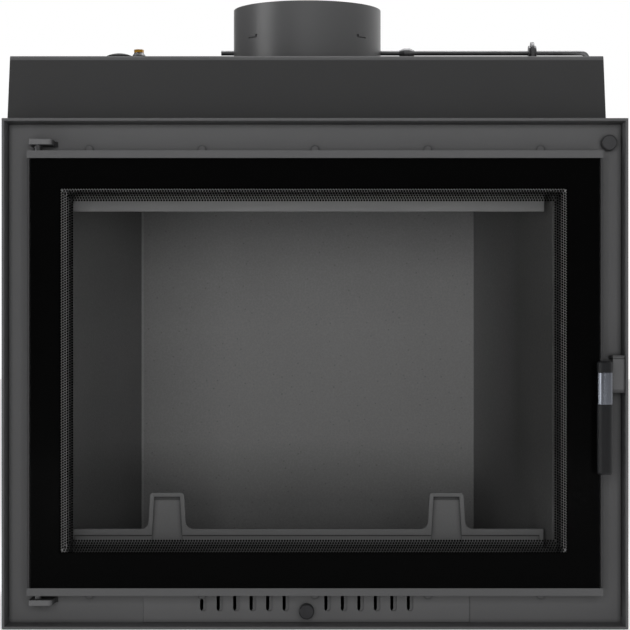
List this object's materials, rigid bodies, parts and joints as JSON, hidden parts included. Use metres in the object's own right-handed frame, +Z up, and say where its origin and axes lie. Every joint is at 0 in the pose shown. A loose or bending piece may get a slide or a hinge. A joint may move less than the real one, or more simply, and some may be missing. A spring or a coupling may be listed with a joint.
{
  "type": "fireplace insert",
  "caption": "Built-in wood-burning fireplace insert: box frame, side-hinged glass door with a lever handle, slotted air slider, leaning hood and a round flue collar with a pull-worked damper.",
  "frame": {"origin": "on the floor, under the middle of the front frame's width and halfway through the depth from the frame's front edge to the casing's back", "axes": "+X to the right seen from in front, +Y into the fireplace, +Z up"},
  "size_m": [0.7, 0.4597, 0.728],
  "materials": {
    "frame_paint": "matt",
    "casing_paint": "matt",
    "door_paint": "matt",
    "firebox_steel": "matt heatproof paint",
    "fire_board": "dry, slightly sooty board",
    "fence_iron": "painted casting",
    "bright_steel": "satin",
    "screw_steel": "blackened",
    "ring_steel": "satin, turned",
    "grip_black": "satin",
    "knob_black": "satin",
    "brass": "machined",
    "glass": "clear, with a black border printed on the inner face",
    "gasket_felt": "flat glass-fibre tape",
    "seal_rope": "knitted glass-fibre rope"
  },
  "bodies": {
    "insert": {"air_cover_plate": "frame_paint", "air_wash_bar": "firebox_steel", "baffle_plate": "fire_board", "base_tray": "casing_paint", "blanking_cap": "casing_paint", "bracket_screws": "screw_steel", "casing_back": "casing_paint", "casing_left": "casing_paint", "casing_right": "casing_paint", "casing_top": "casing_paint", "door_seat": "firebox_steel", "flange_panel": "frame_paint", "flue_collar": "firebox_steel", "front_frame": "frame_paint", "hearth_slab": "fire_board", "hinge_bracket_bottom": "frame_paint", "hinge_bracket_top": "frame_paint", "hood_front": "casing_paint", "latch_keeper": "frame_paint", "lining_back": "fire_board", "lining_left": "fire_board", "lining_right": "fire_board", "link_straps": "bright_steel", "log_fence": "fence_iron", "panel_screws": "screw_steel", "port_boss": "bright_steel", "port_plug": "brass", "shell_floor": "firebox_steel", "shell_roof": "firebox_steel", "shell_wrap": "firebox_steel", "slider_guides": "bright_steel", "spindle_bracket": "bright_steel", "support_rails": "casing_paint"},
    "door": {"door_frame": "door_paint", "glass_pane": "glass", "glass_gasket": "gasket_felt", "glass_rail_top": "door_paint", "glass_rail_bottom": "door_paint", "rail_screws": "screw_steel", "door_rope": "seal_rope", "hinge_pins": "bright_steel", "hinge_sleeves": "door_paint", "latch_boss": "door_paint"},
    "handle": {"handle_shaft": "bright_steel", "latch_tongue": "bright_steel", "handle_core": "bright_steel", "grip_cap": "grip_black", "grip_ring": "ring_steel", "handle_grip": "grip_black", "shaft_nut": "bright_steel"},
    "air_control": {"air_slider": "frame_paint", "air_knob": "knob_black"},
    "damper_pull": {"pull_knob": "knob_black", "pull_rod": "bright_steel", "pull_link": "bright_steel"},
    "damper": {"damper_spindle": "bright_steel", "damper_blade": "firebox_steel", "blade_screws": "screw_steel", "spindle_washers": "bright_steel", "spindle_stop_collar": "bright_steel"}
  },
  "joints": [
    {"name": "door_hinge", "type": "hinge", "parent": "insert", "child": "door", "pos_m": [-0.3115, -0.198, 0.286], "axis": [0, 0, -1], "range_deg": [0, 110]},
    {"name": "handle_turn", "type": "hinge", "parent": "door", "child": "handle", "pos_m": [0.3262, -0.226, 0.293], "axis": [0, 1, 0], "range_deg": [-12, 60]},
    {"name": "air_slide", "type": "slide", "parent": "insert", "child": "air_control", "axis": [1, 0, 0], "range_m": [-0.00365, 0.00365]},
    {"name": "damper_pull", "type": "slide", "parent": "insert", "child": "damper_pull", "axis": [0, -1, 0], "range_m": [0, 0.05844]},
    {"name": "damper_turn", "type": "hinge", "parent": "insert", "child": "damper", "pos_m": [-0.0095, 0.039, 0.677], "axis": [-1, 0, 0], "range_deg": [0, 66]}
  ],
  "couplings": [
    {"joint": "damper_turn", "follows": "damper_pull", "rad_per_m": 19.709}
  ]
}
